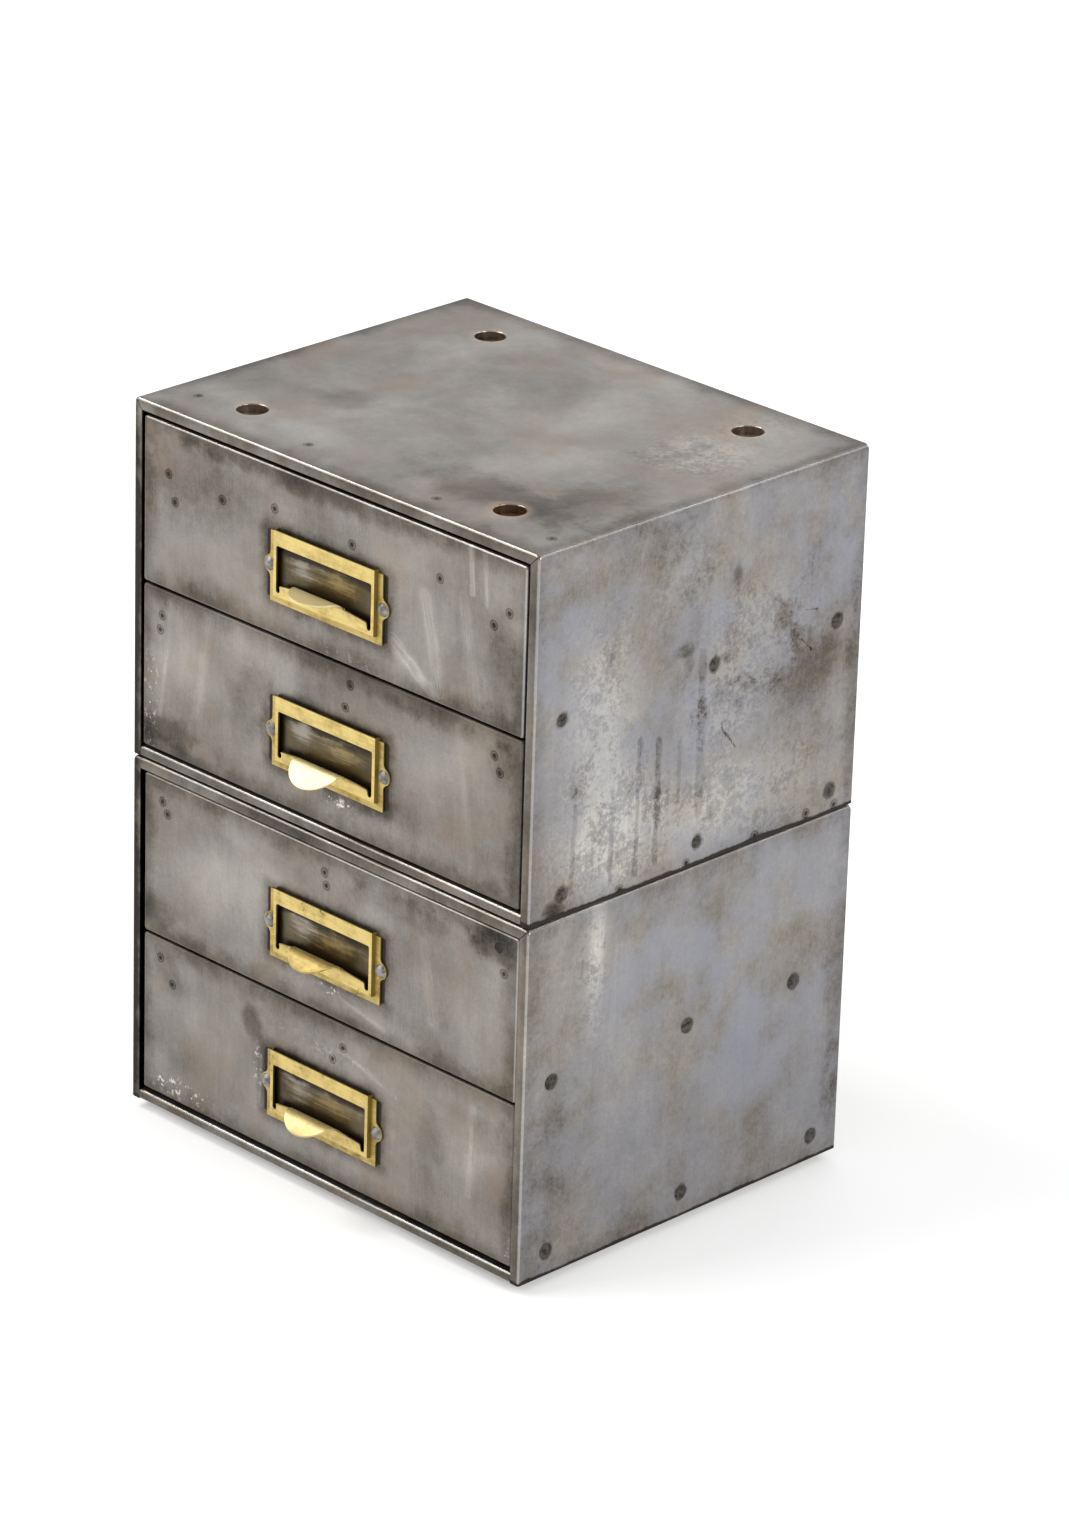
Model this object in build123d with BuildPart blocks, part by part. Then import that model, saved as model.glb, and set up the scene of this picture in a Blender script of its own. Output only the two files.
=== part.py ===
"""Small metal drawer cabinet: two identical folded-steel units, stacked, two drawers each.

Millimetres, +X to the right as seen from the front, +Y to the rear, +Z up. The origin is the
centre of the four feet, on the surface that the lower unit stands on.
"""

from math import cos, degrees, radians, sin, sqrt
import os

from build123d import *

os.makedirs("parts", exist_ok=True)

# ---- one unit: overall size and sheet ----
unit_width = 305.0
unit_depth = 244.0
unit_height = 206.0
casing_sheet = 1.0
side_bend = 3.0  # outside radius where the sides turn into the top
front_bend = 1.8  # outside radius where the wrap turns into its front flanges
face_flange = 6.0  # flanges round the opening, seen from the front
side_foot_radius = 0.8  # rounded lower edge of each side
mitre_gap = 0.4
mitre_land = 1.2  # the slit of each mitre stops this far from the outer corner
rear_flange = 10.0

# ---- stacking cups in the top and feet under the floor ----
cup_spacing_x = 194.0
cup_spacing_y = 176.0
cup_radius = 8.6
cup_depth = 4.5
cup_mouth_fillet = 0.7
foot_clearance = 0.4
foot_edge_fillet = 1.6
stack_gap = 1.0  # daylight between two stacked units

# ---- floor pan ----
rail_height = 6.0
rail_lip = 6.0  # the rail's top edge turns inwards this far
rail_joint = 0.25  # butt joint between the rail and each side flange
pan_flange = 6.8
fold_radius = 1.5  # centre-line radius of the small folds

# ---- stiffener under the front edge of the top ----
stiffener_from_front = 12.0
stiffener_leg = 12.0
stiffener_drop = 5.0
stiffener_side_gap = 4.0

# ---- runners ----
runner_sheet = 1.0
runner_ledge = 18.0
runner_height = 14.0
runner_behind_front = 3.0
runner_rear_gap = 2.0
stop_tab_height = 9.0
stop_clearance = 0.3

# ---- rivets that hold the runners ----
rivet_shank_radius = 1.6
rivet_hole_clearance = 0.05
rivet_head_radius = {"upper": 3.6, "lower": 4.4}
rivet_head_height = 0.9
rivet_tail_radius = 2.6
rivet_tail_height = 0.9

# ---- drawers ----
drawer_sheet = 1.0
gap_above_drawers = 2.3
gap_between_drawers = 1.4
gap_below_drawers = 1.8
gap_beside_drawers = 2.0
front_return = 12.0
front_edge = 1.8
tray_below_front_top = 6.0
tray_hem = 4.0
tray_tab_width = 14.0
tray_tab_gap = 3.25  # the tabs end this far below the stiffener
back_flange = 10.0
back_clearance = 1.2
hat_sheet = 0.8
hat_end_gap = 4.5  # from each end of the strip to the front's outer edge
hat_below_top = 7.0
hat_flange = 7.0
hat_crown = 8.0
hat_depth = 5.0

# ---- brass pulls ----
brass = 0.9
pull_width = 85.0
pull_height = 39.5
pull_top_rise = 1.5  # the raised frame's top edge stands this far above the rim's
pull_rim = 3.6
pull_raise = 3.0
pull_slope = 0.8
window_width = 72.0
window_height = 24.9
window_above_edge = 8.0
window_corner = 1.2
ear_radius = 5.0
ear_above_centre = 0.5
ear_shoulder = 3.4
ear_inset = 0.2  # centre of the ear's round end, inside the plate's edge
lip_length = 23.7
lip_half_width = 17.6
lip_shoulder = 5.6
lip_root_width = 66.0
lip_root_shoulder = 3.1
lip_corner = 1.2
notch_radius = 1.4

# ---- rivets that hold the pulls ----
pull_rivet_outset = 0.5  # centre of each rivet, outside the plate's edge
pull_rivet_radius = 1.9
pull_rivet_head_radius = 3.9
pull_rivet_head_height = 2.2
pull_rivet_tail_radius = 3.2
pull_rivet_tail_height = 0.9

# ---- as found: how far the drawers of each unit sit to the right and up, where each pull is
# riveted (right of and below the middle of its drawer's front), and the radius and angle that
# its lip is rolled ----
drawer_shift = {"upper": -0.3, "lower": 1.4}
drawer_lift = {"upper": 0.0, "lower": 1.4}
pull_place = {1: (-1.1, 7.8), 2: (1.9, 5.2), 3: (0.7, 6.5), 4: (-0.1, 6.5)}
lip_roll = {1: (8.8, 92.0), 2: (5.4, 122.0), 3: (7.9, 118.0), 4: (7.4, 123.0)}
# the rivets of each drawer's runners: distances behind the middle, and height above the ledge
rivet_rows = {
    1: ((-102.0, 9.7, 104.0), 7.9),
    2: ((-98.7, 1.5, 104.0), 5.3),
    3: ((-102.0, 0.0, 82.0), 9.0),
    4: ((-102.0, 0.0, 102.0), 5.5),
}

# ---- worked out ----
front_y = -unit_depth / 2
rear_y = unit_depth / 2
half_width = unit_width / 2
inner_half = half_width - casing_sheet
foot_height = cup_depth + stack_gap
foot_radius = cup_radius - foot_clearance
opening_half = half_width - face_flange
opening_height = unit_height - face_flange - rail_height
front_width = 2 * (opening_half - gap_beside_drawers)
front_height = (opening_height - gap_above_drawers - gap_between_drawers - gap_below_drawers) / 2
drawer_pitch = front_height + gap_between_drawers
lowest_drawer = rail_height + gap_below_drawers
tray_half = front_width / 2 - drawer_sheet
tray_floor = drawer_sheet  # underside of the tray above the front's lower edge
tray_top = front_height - tray_below_front_top
runner_rear = rear_y - casing_sheet - rear_flange - runner_rear_gap
tray_front = front_y + drawer_sheet
tray_rear = runner_rear - runner_sheet - stop_clearance
cup_places = [
    (x * cup_spacing_x / 2, y * cup_spacing_y / 2) for x in (-1, 1) for y in (-1, 1)
]
unit_base = {"lower": foot_height, "upper": foot_height + unit_height + stack_gap}
unit_drawers = {"upper": (1, 2), "lower": (3, 4)}


def save(part, label):
    """Label a finished piece and write it to its own file."""
    part.label = label
    export_step(part, f"parts/{label}.step")


def folded_strip(plane, points, sheet, bend, length):
    """Sheet bent along a polyline in the plane, symmetrical about it, with rounded folds."""
    with BuildPart() as strip:
        with BuildSketch(plane):
            with BuildLine():
                FilletPolyline(*points, radius=bend)
            trace(line_width=sheet)
        extrude(amount=length / 2, both=True)
    return strip.part


def rounded_block(width, low, high, front, rear, corner, front_edge_radius):
    """Block from front to rear: its two upper long edges and its front edges are rounded."""
    with BuildPart() as block:
        with BuildSketch(Plane.XZ.offset(-front)) as outline:
            with Locations((0, (low + high) / 2)):
                Rectangle(width, high - low)
            fillet(outline.vertices().group_by(Axis.Y)[-1], radius=corner)
        extrude(amount=front - rear)
        front_edges = block.faces().sort_by(Axis.Y)[0].edges()
        fillet(front_edges - front_edges.group_by(Axis.Z)[0], radius=front_edge_radius)
    return block.part


def level(unit, drawer):
    """Height of the lower edge of a drawer's front."""
    rows_up = unit_drawers[unit][1] - drawer
    return unit_base[unit] + lowest_drawer + rows_up * drawer_pitch + drawer_lift[unit]


def rivet_places(unit, drawers):
    """Distance to the rear and height of each rivet through a side at these drawers' runners."""
    places = []
    for drawer in drawers:
        behind_middle, above_ledge = rivet_rows[drawer]
        places += [(y, level(unit, drawer) + above_ledge) for y in behind_middle]
    return places


def domed_rivet(shank_radius, head_radius, head_height, grip, tail_radius, tail_height):
    """Rivet on the Z axis: its round head sits on the XY plane, its flat tail is below the grip."""
    dome = (head_radius**2 + head_height**2) / (2 * head_height)
    tail = -grip - tail_height
    with BuildPart() as rivet:
        with BuildSketch(Plane.XZ):
            with BuildLine():
                Line((0, tail), (0, head_height))
                RadiusArc((0, head_height), (head_radius, 0), dome)
                Polyline(
                    (head_radius, 0),
                    (shank_radius, 0),
                    (shank_radius, -grip),
                    (tail_radius, -grip),
                    (tail_radius * 0.7, tail),
                    (0, tail),
                )
            make_face()
        revolve(axis=Axis.Z)
    return rivet.part


def make_casing(unit):
    """Sides and top in one folded sheet, with mitred front flanges and drawn stacking cups."""
    base = unit_base[unit]
    top = base + unit_height
    outside = rounded_block(
        unit_width, base, top, front_y, rear_y, side_bend, front_bend
    )
    hollow = rounded_block(
        unit_width - 2 * casing_sheet,
        base - casing_sheet,
        top - casing_sheet,
        front_y + casing_sheet,
        rear_y + casing_sheet,
        side_bend - casing_sheet,
        front_bend - casing_sheet,
    )
    mitre_reach = face_flange - mitre_land
    with BuildPart() as casing:
        add(outside)
        add(hollow, mode=Mode.SUBTRACT)
        # the opening, carried down through the front so that the floor pan's rail fits in
        with BuildSketch(Plane.XZ.offset(-front_y)):
            with Locations((0, (base + top - face_flange) / 2 - casing_sheet)):
                Rectangle(2 * opening_half, unit_height - face_flange + 2 * casing_sheet)
        extrude(amount=-2 * front_bend, mode=Mode.SUBTRACT)
        lower_edges = casing.edges().filter_by(Axis.Y).group_by(Axis.Z)[0].sort_by(Axis.X)
        fillet([lower_edges[0], lower_edges[-1]], radius=side_foot_radius)
        # mitres where the side flanges meet the top flange
        with BuildSketch(Plane.XZ.offset(-front_y)):
            for side in (-1, 1):
                # each slit starts a sheet's thickness inside the opening, so it runs out into it
                middle = (mitre_reach - casing_sheet) / 2
                with Locations((side * (opening_half + middle), top - face_flange + middle)):
                    Rectangle((mitre_reach + casing_sheet) * sqrt(2), mitre_gap, rotation=side * 45)
        extrude(amount=-casing_sheet - 0.2, mode=Mode.SUBTRACT)
        # drawn cups, one near each corner of the top
        with BuildSketch(Plane.XY.offset(top - casing_sheet / 2)):
            with Locations(*cup_places):
                Circle(cup_radius + casing_sheet)
        extrude(amount=-cup_depth - casing_sheet / 2)
        with BuildSketch(Plane.XY.offset(top)):
            with Locations(*cup_places):
                Circle(cup_radius)
        extrude(amount=-cup_depth, mode=Mode.SUBTRACT)
        mouths = casing.faces().filter_by(Plane.XY).sort_by(Axis.Z)[-1].edges()
        fillet(mouths.filter_by(GeomType.CIRCLE), radius=cup_mouth_fillet)
        # holes for the rivets that hold the runners
        with BuildSketch(Plane.YZ):
            with Locations(*rivet_places(unit, unit_drawers[unit])):
                Circle(rivet_shank_radius + rivet_hole_clearance)
        extrude(amount=unit_width, both=True, mode=Mode.SUBTRACT)
    save(casing.part, f"{unit}_casing")


def make_bottom_pan(unit):
    """Floor pan: side flanges welded inside the casing, and the hemmed rail of the front."""
    base = unit_base[unit]
    half_sheet = casing_sheet / 2
    floor_front = front_y + front_bend + rail_joint
    rail_half = opening_half - rail_joint
    flange_rear = rear_y - casing_sheet - rear_flange - runner_rear_gap
    rail_line = [
        (front_y + rail_lip, base + rail_height - half_sheet),
        (front_y + half_sheet, base + rail_height - half_sheet),
        (front_y + half_sheet, base + half_sheet),
        (front_y + 3 * rail_lip, base + half_sheet),
    ]
    with BuildPart() as pan:
        add(folded_strip(Plane.YZ, rail_line, casing_sheet, fold_radius, 2 * rail_half))
        with BuildSketch(Plane.XY.offset(base)):
            with Locations((0, (floor_front + rear_y) / 2)):
                Rectangle(2 * inner_half, rear_y - floor_front)
            with Locations((0, floor_front)):
                Rectangle(2 * rail_half, 2 * fold_radius + rail_lip, mode=Mode.SUBTRACT)
        extrude(amount=casing_sheet)
        for side in (-1, 1):
            with BuildSketch(Plane.XY.offset(base)):
                with Locations((side * (inner_half - half_sheet), (floor_front + flange_rear) / 2)):
                    Rectangle(casing_sheet, flange_rear - floor_front)
            extrude(amount=pan_flange)
        lower_edges = pan.edges().filter_by(Axis.Y).group_by(Axis.Z)[0].sort_by(Axis.X)
        fillet([lower_edges[0], lower_edges[-1]], radius=casing_sheet * 0.8)
    save(pan.part, f"{unit}_bottom_pan")


def make_back_panel(unit):
    """Back: a shallow pan with its flanges turned forward inside the casing."""
    low = unit_base[unit] + casing_sheet
    high = unit_base[unit] + unit_height - casing_sheet
    with BuildPart() as back:
        with BuildSketch(Plane.XZ.offset(-rear_y)) as outline:
            with Locations((0, (low + high) / 2)):
                Rectangle(2 * inner_half, high - low)
            fillet(outline.vertices().group_by(Axis.Y)[-1], radius=side_bend - casing_sheet)
        extrude(amount=rear_flange)
        rear_edges = back.faces().sort_by(Axis.Y)[-1].edges()
        fillet(rear_edges, radius=casing_sheet * 0.8)
        open_front = back.faces().sort_by(Axis.Y)[0]
        offset(amount=-casing_sheet, openings=open_front)
    save(back.part, f"{unit}_back_panel")


def make_top_stiffener(unit):
    """Angle welded under the top, close behind the front."""
    under = unit_base[unit] + unit_height - casing_sheet
    half_sheet = casing_sheet / 2
    front = front_y + stiffener_from_front
    line = [
        (front + stiffener_leg, under - half_sheet),
        (front + half_sheet, under - half_sheet),
        (front + half_sheet, under - stiffener_drop),
    ]
    length = 2 * (inner_half - stiffener_side_gap)
    save(folded_strip(Plane.YZ, line, casing_sheet, fold_radius, length), f"{unit}_top_stiffener")


def make_runner(unit, drawer, side_name):
    """Angle riveted to a side: the drawer slides on its ledge, up to a tab at the rear."""
    side = -1 if side_name == "left" else 1
    ledge = level(unit, drawer)
    half_sheet = runner_sheet / 2
    front = front_y + front_return + runner_behind_front
    length = runner_rear - front
    wall = side * (inner_half - half_sheet)
    line = [
        (wall, ledge + runner_height),
        (wall, ledge + half_sheet),
        (side * (inner_half - runner_ledge), ledge + half_sheet),
    ]
    middle = Plane.XZ.offset(-(front + runner_rear) / 2)
    with BuildPart() as runner:
        add(folded_strip(middle, line, runner_sheet, fold_radius, length))
        tab_width = runner_ledge - 2 * fold_radius - runner_sheet
        tab_middle = side * (inner_half - runner_ledge + tab_width / 2)
        with BuildSketch(Plane.XY.offset(ledge)):
            with Locations((tab_middle, runner_rear - half_sheet)):
                Rectangle(tab_width, runner_sheet)
        extrude(amount=stop_tab_height)
        with BuildSketch(Plane.YZ.offset(side * (inner_half - 2 * runner_sheet))):
            with Locations(*rivet_places(unit, [drawer])):
                Circle(rivet_shank_radius + rivet_hole_clearance)
        extrude(amount=side * 4 * runner_sheet, mode=Mode.SUBTRACT)
    save(runner.part, f"{unit}_runner_{drawer}_{side_name}")


def make_runner_rivets(unit):
    """Round-headed rivets through the casing's sides and the runners."""
    rivet = domed_rivet(
        rivet_shank_radius,
        rivet_head_radius[unit],
        rivet_head_height,
        casing_sheet + runner_sheet,
        rivet_tail_radius,
        rivet_tail_height,
    )
    with BuildPart() as rivets:
        for side in (-1, 1):
            for y, z in rivet_places(unit, unit_drawers[unit]):
                seat = Plane(origin=(side * half_width, y, z), x_dir=(0, 1, 0), z_dir=(side, 0, 0))
                add(seat.location * rivet)
    save(rivets.part, f"{unit}_runner_rivets")


def make_feet(unit):
    """Pressed button feet under the floor: they drop into the cups of the unit below."""
    base = unit_base[unit]
    with BuildPart() as feet:
        with BuildSketch(Plane.XY.offset(base - foot_height)):
            with Locations(*cup_places):
                Circle(foot_radius)
        extrude(amount=foot_height)
        rims = feet.faces().sort_by(Axis.Z)[:4].edges()
        fillet(rims, radius=foot_edge_fillet)
        with BuildSketch(Plane.XY.offset(base)):
            with Locations(*cup_places):
                Circle(foot_radius - casing_sheet)
        extrude(amount=-foot_height + casing_sheet, mode=Mode.SUBTRACT)
    save(feet.part, f"{unit}_feet")


def make_drawer_front(unit, drawer):
    """Drawer front: a shallow pan with rounded edges and its returns turned back."""
    low = level(unit, drawer)
    middle = (drawer_shift[unit], low + front_height / 2)
    with BuildPart() as front:
        with BuildSketch(Plane.XZ.offset(-front_y)) as outline:
            with Locations(middle):
                Rectangle(front_width, front_height)
            fillet(outline.vertices(), radius=front_edge)
        extrude(amount=-front_return)
        fillet(front.faces().sort_by(Axis.Y)[0].edges(), radius=front_edge)
        open_rear = front.faces().sort_by(Axis.Y)[-1]
        offset(amount=-drawer_sheet, openings=open_rear)
        with BuildSketch(pull_plane(unit, drawer)):
            with Locations(*ear_places(pull_rivet_outset)):
                Circle(pull_rivet_radius + rivet_hole_clearance)
        extrude(amount=-2 * drawer_sheet, mode=Mode.SUBTRACT)
    save(front.part, f"drawer_{drawer}_front")


def make_front_stiffener(unit, drawer):
    """Hat-section strip welded behind the upper part of the drawer's front."""
    half_sheet = hat_sheet / 2
    top = level(unit, drawer) + front_height - hat_below_top
    rise = [top, top - hat_flange, top - hat_flange, top - hat_flange - hat_crown]
    against = tray_front + half_sheet
    crown = tray_front + hat_depth - half_sheet
    line = [
        (against, rise[0]),
        (against, rise[1]),
        (crown, rise[2]),
        (crown, rise[3]),
        (against, rise[3]),
        (against, rise[3] - hat_flange),
    ]
    plane = Plane.YZ.offset(drawer_shift[unit])
    strip = folded_strip(plane, line, hat_sheet, hat_sheet, front_width - 2 * hat_end_gap)
    save(strip, f"drawer_{drawer}_front_stiffener")


def make_tray(unit, drawer):
    """Drawer tray: floor and sides in one folded sheet, with the top edges turned in."""
    low = level(unit, drawer)
    half_sheet = drawer_sheet / 2
    shift = drawer_shift[unit]
    wall = tray_half - half_sheet
    floor = low + tray_floor + half_sheet
    hem = low + tray_top - half_sheet
    line = [
        (shift - tray_half + tray_hem, hem),
        (shift - wall, hem),
        (shift - wall, floor),
        (shift + wall, floor),
        (shift + wall, hem),
        (shift + tray_half - tray_hem, hem),
    ]
    # the walls start where the round inner edges of the drawer's front end
    walls_front = front_y + front_edge
    middle = Plane.XZ.offset(-(walls_front + tray_rear) / 2)
    with BuildPart() as tray:
        add(folded_strip(middle, line, drawer_sheet, fold_radius, tray_rear - walls_front))
        # front tabs, turned in and welded to the back of the drawer's front, below its stiffener
        tab_low = tray_floor + 2 * fold_radius
        tab_high = front_height - hat_below_top - 2 * hat_flange - hat_crown - tray_tab_gap
        with BuildSketch(Plane.XY.offset(low + tab_low)) as tabs:
            for side in (-1, 1):
                tab_middle = shift + side * (tray_half - tray_tab_width / 2)
                with Locations((tab_middle, tray_front + half_sheet)):
                    Rectangle(tray_tab_width, drawer_sheet)
            front_corners = tabs.vertices().group_by(Axis.Y)[0].sort_by(Axis.X)
            fillet([front_corners[0], front_corners[-1]], radius=drawer_sheet * 0.9)
        extrude(amount=tab_high - tab_low)
    save(tray.part, f"drawer_{drawer}_tray")


def make_tray_back(unit, drawer):
    """Back of the tray, with flanges turned forward inside its sides."""
    low = level(unit, drawer) + tray_floor + drawer_sheet
    high = level(unit, drawer) + tray_top - drawer_sheet - back_clearance
    half_sheet = drawer_sheet / 2
    wall = tray_half - drawer_sheet - half_sheet
    shift = drawer_shift[unit]
    line = [
        (shift - wall, tray_rear - back_flange),
        (shift - wall, tray_rear - half_sheet),
        (shift + wall, tray_rear - half_sheet),
        (shift + wall, tray_rear - back_flange),
    ]
    lift = fold_radius  # clear of the round folds between the tray's floor and sides
    plane = Plane.XY.offset((low + lift + high) / 2)
    with BuildPart() as back:
        add(folded_strip(plane, line, drawer_sheet, fold_radius, high - low - lift))
        with BuildSketch(Plane.XY.offset(low)):
            with Locations((shift, tray_rear - half_sheet)):
                Rectangle(2 * (wall - 2 * fold_radius), drawer_sheet)
        extrude(amount=lift)
    save(back.part, f"drawer_{drawer}_tray_back")


def pull_plane(unit, drawer):
    """Plane on the drawer's front, centred on its pull: X right, Y up, Z out of the front."""
    sideways, below = pull_place[drawer]
    centre = (drawer_shift[unit] + sideways, front_y, level(unit, drawer) + front_height / 2 - below)
    return Plane(origin=centre, x_dir=(1, 0, 0), z_dir=(0, -1, 0))


def ear_places(outset):
    """A place in each ear, this far outside the plate's edge: its round end or its rivet."""
    reach = pull_width / 2 + outset
    return [(-reach, ear_above_centre), (reach, ear_above_centre)]


def roll_point(length, radius, angle):
    """Outward and upward reach of the rolled lip's middle surface at a length from its root."""
    turned = min(length / radius, angle)
    straight = max(length - radius * angle, 0.0)
    out = radius * (1 - cos(turned)) + straight * sin(turned)
    up = radius * sin(turned) + straight * cos(turned)
    return out, up


def rolled_lip(plane, radius, angle):
    """Finger lip cut free from the window: a broad low root, then a half-moon rolled forward.

    The flat tab is a half ellipse on top of the root. Root and half-moon are each a rolled
    strip, cut to their outline along the direction that they face.
    """
    root_angle = lip_shoulder / radius
    root_v = window_above_edge - pull_height / 2
    middle = pull_raise - brass / 2
    side_view = Plane(
        origin=plane.from_local_coords((0, root_v, middle)),
        x_dir=plane.z_dir,
        z_dir=-plane.x_dir,
    )
    root_out, root_up = roll_point(lip_shoulder, radius, angle)
    with BuildPart() as root:
        with BuildSketch(side_view):
            with BuildLine():
                start = Line((0, -brass), (0, 0))
                JernArc(start @ 1, (0, 1), radius, -degrees(root_angle))
            trace(line_width=brass)
        extrude(amount=lip_root_width / 2, both=True)
        half_root = lip_root_width / 2
        root_shoulder = roll_point(lip_root_shoulder, radius, angle)[1]
        with BuildSketch(plane) as face_view:
            with BuildLine():
                Polyline(
                    (-half_root, root_v - 2 * brass),
                    (-half_root, root_v + root_shoulder),
                    (-half_root + lip_corner, root_v + root_shoulder),
                    (-lip_half_width, root_v + root_up),
                    (-lip_half_width, root_v + root_up + brass),
                    (lip_half_width, root_v + root_up + brass),
                    (lip_half_width, root_v + root_up),
                    (half_root - lip_corner, root_v + root_shoulder),
                    (half_root, root_v + root_shoulder),
                    (half_root, root_v - 2 * brass),
                    close=True,
                )
            make_face()
            outer = face_view.vertices().filter_by_position(
                Axis.Y, root_v + root_shoulder - 0.01, root_v + root_shoulder + 0.01
            )
            fillet([outer.sort_by(Axis.X)[0], outer.sort_by(Axis.X)[-1]], radius=lip_corner * 0.9)
        extrude(amount=4 * pull_raise, mode=Mode.INTERSECT)
    tip_out, tip_up = roll_point(lip_length, radius, angle)
    chord = Vector(tip_out - root_out, tip_up - root_up)
    along = chord.normalized()
    start_point = side_view.from_local_coords((root_out, root_up))
    chord_dir = side_view.x_dir * along.X + side_view.y_dir * along.Y
    facing = Plane(origin=start_point, x_dir=plane.x_dir, z_dir=plane.x_dir.cross(chord_dir))
    steps = 8
    outline = []
    for step in range(steps + 1):
        turn = radians(90 * step / steps)
        length = lip_shoulder + (lip_length - lip_shoulder) * cos(turn)
        out, up = roll_point(length, radius, angle)
        reach = (out - root_out) * along.X + (up - root_up) * along.Y
        outline.append((lip_half_width * sin(turn), reach))
    mirrored = [(-x, y) for x, y in reversed(outline)]
    with BuildPart() as moon:
        with BuildSketch(side_view):
            with BuildLine():
                roll = JernArc((0, 0), (0, 1), radius, -degrees(angle))
                Line(roll @ 1, roll @ 1 + (roll % 1) * (lip_length - radius * angle + brass))
            trace(line_width=brass)
        extrude(amount=lip_half_width + brass, both=True)
        with BuildSketch(facing):
            with BuildLine():
                rim = Spline(*mirrored, *outline[1:])
                Line(rim @ 1, rim @ 0)
            make_face()
        extrude(amount=2 * radius, both=True, mode=Mode.INTERSECT)
    return root.part, moon.part


def make_pull(unit, drawer):
    """Stamped brass card pull: raised frame, riveted ears and a rolled finger lip."""
    plane = pull_plane(unit, drawer)
    low = -pull_height / 2
    frame_top = pull_height / 2 + pull_top_rise
    rim_half = pull_width / 2 - pull_rim
    radius, turn = lip_roll[drawer]
    root, moon = rolled_lip(plane, radius, radians(turn))
    with BuildPart() as pull:
        # the rim that lies on the drawer, with an ear half way up each side
        with BuildSketch(plane) as rim:
            Rectangle(pull_width, pull_height)
            with Locations(*ear_places(-ear_inset)):
                Circle(ear_radius)
            meets = [
                v
                for v in rim.vertices()
                if abs(abs(v.X) - pull_width / 2) < 0.01 and abs(v.Y) < ear_radius + 1
            ]
            fillet(meets, radius=ear_shoulder)
        extrude(amount=brass)
        # raised frame: three sloping walls, open at the top where a card slides in
        frame_rows = [(0, 0), (pull_raise, pull_slope)]
        for rise, draw in frame_rows:
            with BuildSketch(plane.offset(rise)):
                with Locations((0, (low + pull_rim + draw + frame_top) / 2)):
                    Rectangle(2 * (rim_half - draw), frame_top - low - pull_rim - draw)
        loft()
        for rise, draw in ((-brass / 2, brass - pull_slope * 0.15), (pull_raise - brass, brass + 0.6)):
            with BuildSketch(plane.offset(rise)):
                with Locations((0, (low + pull_rim + draw + frame_top + brass) / 2)):
                    Rectangle(2 * (rim_half - draw), frame_top + brass - low - pull_rim - draw)
        loft(mode=Mode.SUBTRACT)
        # window, with a small relief notch at each end of the lip's root
        with BuildSketch(plane.offset(pull_raise + brass)) as window:
            with Locations((0, low + window_above_edge + window_height / 2)):
                Rectangle(window_width, window_height)
            fillet(window.vertices().group_by(Axis.Y)[-1], radius=window_corner)
            notch = (window_width + lip_root_width) / 4
            with Locations((-notch, low + window_above_edge), (notch, low + window_above_edge)):
                Circle(notch_radius)
        extrude(amount=-pull_raise, mode=Mode.SUBTRACT)
        add(root)
        add(moon)
        with BuildSketch(plane):
            with Locations(*ear_places(pull_rivet_outset)):
                Circle(pull_rivet_radius + rivet_hole_clearance)
        extrude(amount=2 * brass, mode=Mode.SUBTRACT)
    save(pull.part, f"drawer_{drawer}_pull")


def make_pull_rivets(unit, drawer):
    """Two round-headed rivets through the pull's ears and the drawer's front."""
    plane = pull_plane(unit, drawer)
    rivet = domed_rivet(
        pull_rivet_radius,
        pull_rivet_head_radius,
        pull_rivet_head_height,
        brass + drawer_sheet,
        pull_rivet_tail_radius,
        pull_rivet_tail_height,
    )
    with BuildPart() as rivets:
        for u, v in ear_places(pull_rivet_outset):
            on_ear = plane.from_local_coords((u, v, brass))
            seat = Plane(origin=on_ear, x_dir=plane.x_dir, z_dir=plane.z_dir)
            add(seat.location * rivet)
    save(rivets.part, f"drawer_{drawer}_pull_rivets")


for unit in unit_drawers:
    make_casing(unit)
    make_bottom_pan(unit)
    make_back_panel(unit)
    make_top_stiffener(unit)
    make_runner_rivets(unit)
    make_feet(unit)
    for drawer in unit_drawers[unit]:
        make_runner(unit, drawer, "left")
        make_runner(unit, drawer, "right")
        make_drawer_front(unit, drawer)
        make_front_stiffener(unit, drawer)
        make_tray(unit, drawer)
        make_tray_back(unit, drawer)
        make_pull(unit, drawer)
        make_pull_rivets(unit, drawer)
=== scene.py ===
"""Looks of a small burnished-steel drawer cabinet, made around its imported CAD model.

Everything is in metres, in the frame of the CAD model: +X right, +Y to the rear, +Z up.
"""

import math
from types import SimpleNamespace

import bpy
from mathutils import Matrix, Vector


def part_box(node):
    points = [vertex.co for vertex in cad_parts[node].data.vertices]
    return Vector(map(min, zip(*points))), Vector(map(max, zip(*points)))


bl_info = {
    "name": "Small Metal Drawer Cabinet",
    "version": (1, 0, 0),
    "blender": (4, 5, 0),
    "location": "View3D > Sidebar > Cabinet",
    "description": "Finishes the steel, brass and rivets of a stacked drawer cabinet and sets its studio",
    "category": "Object",
}

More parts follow.
